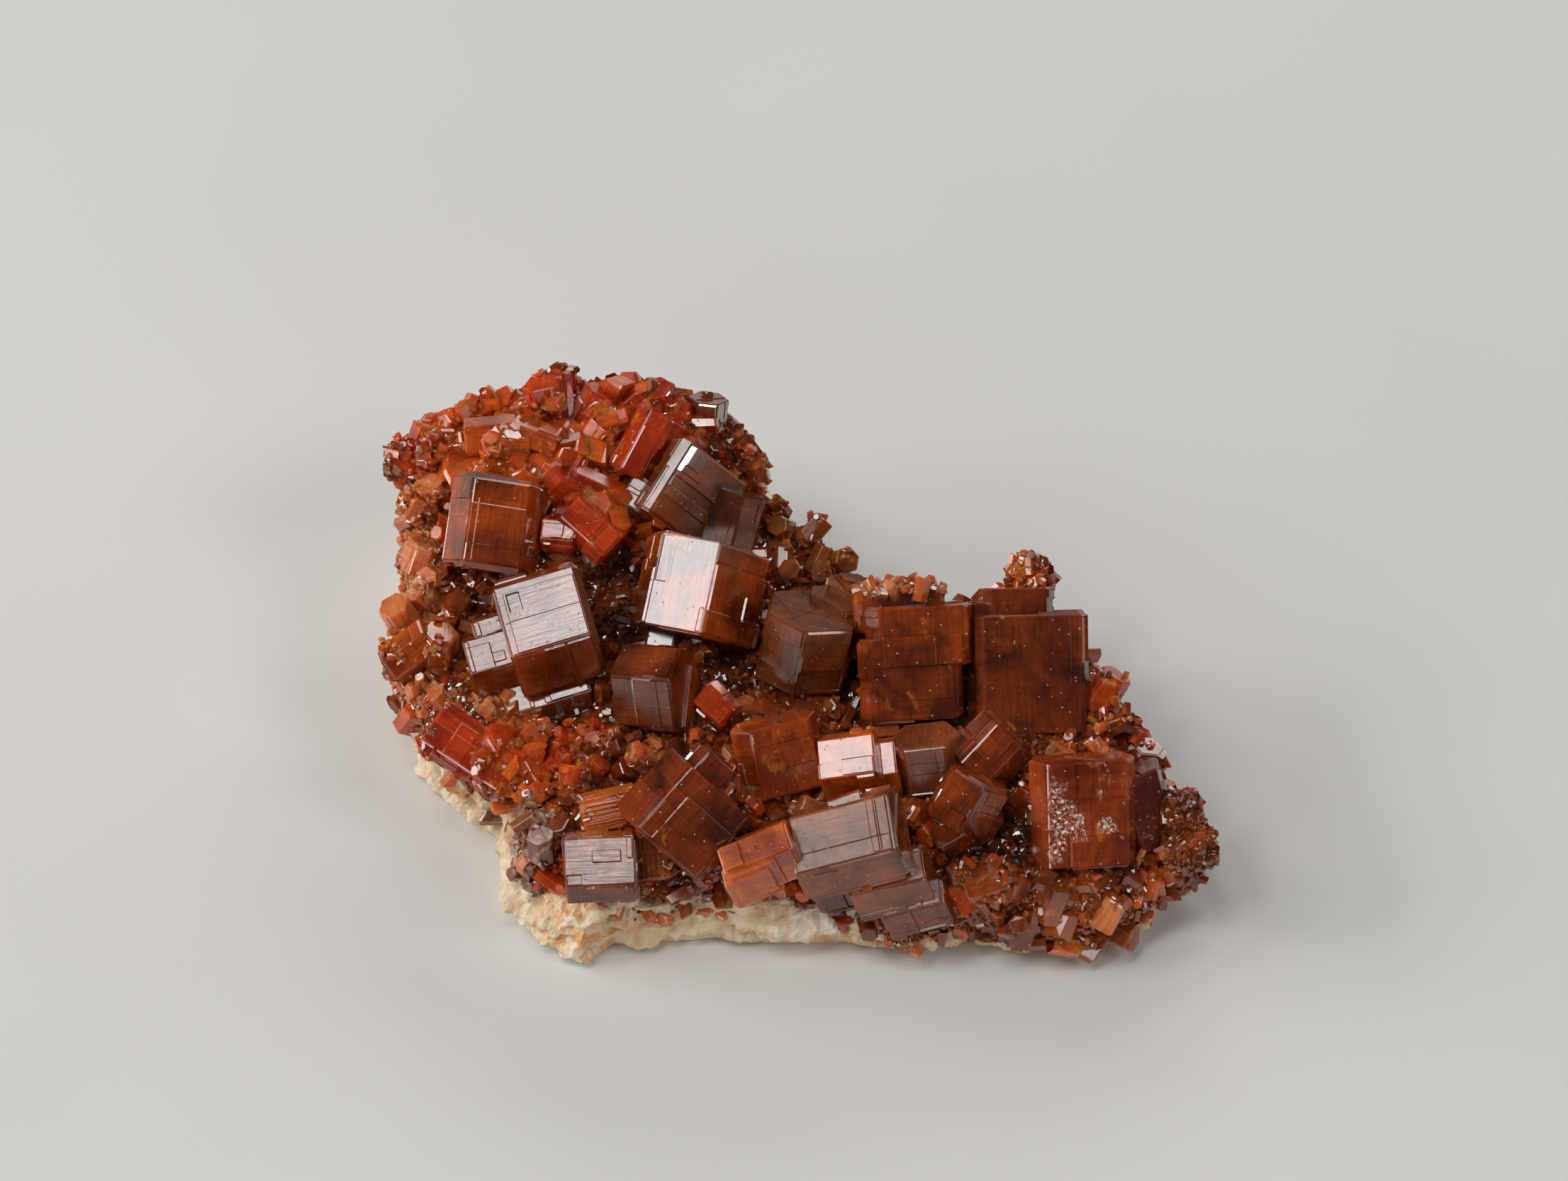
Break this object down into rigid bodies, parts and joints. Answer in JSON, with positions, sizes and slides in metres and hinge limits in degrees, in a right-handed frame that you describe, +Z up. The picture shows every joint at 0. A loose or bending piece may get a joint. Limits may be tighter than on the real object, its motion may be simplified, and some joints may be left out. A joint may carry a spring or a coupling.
{
  "type": "vanadinite on matrix",
  "caption": "Plate of pale rock covered with a crust of small orange-red crystals, with stubby brown-red hexagonal crystals standing in it.",
  "frame": {"origin": "bottom centre of the whole specimen's box, on the surface that it rests on", "axes": "+X along the specimen's length, towards its narrow tip; +Y away from the edge with the bare pale rock, towards the high back; +Z up"},
  "size_m": [0.0586, 0.042, 0.0192],
  "materials": {
    "matrix": "rough, chalky rock",
    "crust": "glittering orange-brown druse",
    "brown_crystal": "glassy, brown to dark red, growth lines",
    "red_crystal": "glassy, orange-red"
  },
  "bodies": {
    "root": {"matrix": "matrix", "crust": "crust", "centre_block": "brown_crystal", "left_block": "brown_crystal", "upper_block": "brown_crystal", "slanted_block": "brown_crystal", "banded_block": "brown_crystal", "tall_block": "brown_crystal", "orange_block": "brown_crystal", "white_face_block": "brown_crystal", "frosted_block": "brown_crystal", "stepped_block": "brown_crystal", "amber_block": "brown_crystal", "patched_block": "brown_crystal", "violet_block": "brown_crystal", "front_block": "brown_crystal", "tilted_block": "brown_crystal", "grey_face_block": "brown_crystal", "step_faced_block": "brown_crystal", "smoky_block": "brown_crystal", "broken_block": "brown_crystal", "striated_block": "brown_crystal", "front_orange_block": "brown_crystal", "peak_cluster": "red_crystal", "red_prism": "red_crystal", "back_pair": "red_crystal", "orange_ridge": "red_crystal", "red_slab": "red_crystal", "red_tip": "red_crystal", "left_corner_pair": "red_crystal", "left_edge_pair": "red_crystal", "orange_bars": "red_crystal", "tip_pair": "red_crystal"}
  },
  "joints": []
}
